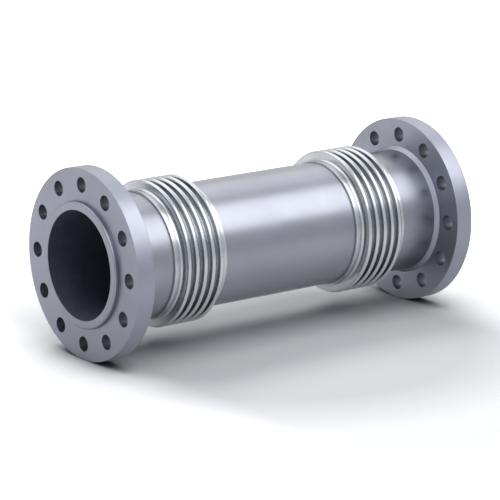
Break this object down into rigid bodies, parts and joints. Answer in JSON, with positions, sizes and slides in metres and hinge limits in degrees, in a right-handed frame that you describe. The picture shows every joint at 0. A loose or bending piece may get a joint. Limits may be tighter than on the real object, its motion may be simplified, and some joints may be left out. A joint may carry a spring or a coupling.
{
  "type": "universal expansion joint",
  "caption": "Flanged pipe joint with a corrugated metal bellows at each end of a centre pipe, which bends to take up offset and angular movement between two pipes.",
  "frame": {"origin": "centre of the lower pipe end's face, on the pipe axis, where the joint stands", "axes": "+Z along the pipe axis from the lower flange to the upper one; +X through one bolt hole of each flange; +Y completes the right-handed frame"},
  "size_m": [0.415, 0.415, 0.9232],
  "materials": {
    "flange_steel": "satin blue-grey steel",
    "pipe_steel": "satin blue-grey steel",
    "bellows_steel": "bright rolled stainless steel",
    "collar_steel": "bright stainless steel"
  },
  "bodies": {
    "lower_end": {"lower_flange": "flange_steel", "lower_end_pipe": "pipe_steel", "lower_outer_collar": "collar_steel"},
    "centre_spool": {"lower_bellows": "bellows_steel", "lower_inner_collar": "collar_steel", "centre_pipe": "pipe_steel", "upper_inner_collar": "collar_steel", "upper_bellows": "bellows_steel"},
    "upper_end": {"upper_outer_collar": "collar_steel", "upper_end_pipe": "pipe_steel", "upper_flange": "flange_steel"}
  },
  "joints": [
    {"name": "lower_flex", "type": "hinge", "parent": "lower_end", "child": "centre_spool", "pos_m": [0, 0, 0.2171], "axis": [0, 1, 0], "range_deg": [-8, 8], "stiffness_Nm_per_rad": 7000, "deforming": ["lower_bellows"]},
    {"name": "upper_flex", "type": "hinge", "parent": "centre_spool", "child": "upper_end", "pos_m": [0, 0, 0.7061], "axis": [0, 1, 0], "range_deg": [-8, 8], "stiffness_Nm_per_rad": 7000, "deforming": ["upper_bellows"]}
  ]
}
